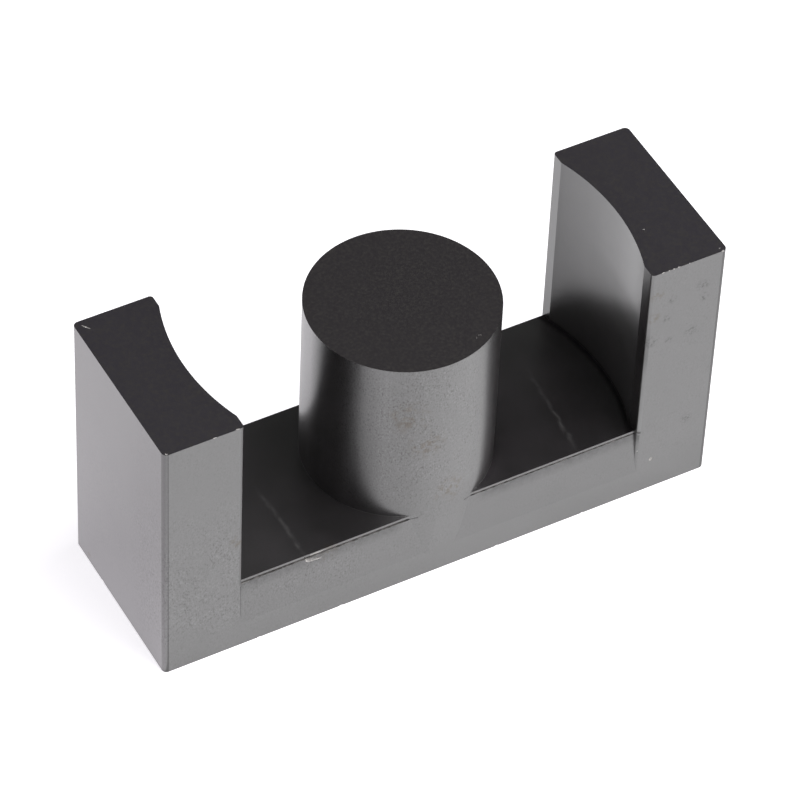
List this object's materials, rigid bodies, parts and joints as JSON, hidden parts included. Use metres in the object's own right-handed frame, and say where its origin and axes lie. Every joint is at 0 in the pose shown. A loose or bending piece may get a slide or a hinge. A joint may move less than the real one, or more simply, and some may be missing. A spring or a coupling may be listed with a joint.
{
  "type": "ferrite e core",
  "caption": "Ferrite E core half: flat back plate, outer legs with hollow inner faces, and a round centre post ground short of the pole faces, for a transformer or choke.",
  "frame": {"origin": "centre of the flat back face", "axes": "+X along the length from leg to leg, +Y from the front face to the back, +Z out of the back plate towards the pole faces"},
  "size_m": [0.0342, 0.0108, 0.0172],
  "materials": {
    "sintered_ferrite": "as-sintered matt grey sides, darker ground pole faces"
  },
  "bodies": {
    "root": {"core_half": "sintered_ferrite"}
  },
  "joints": []
}
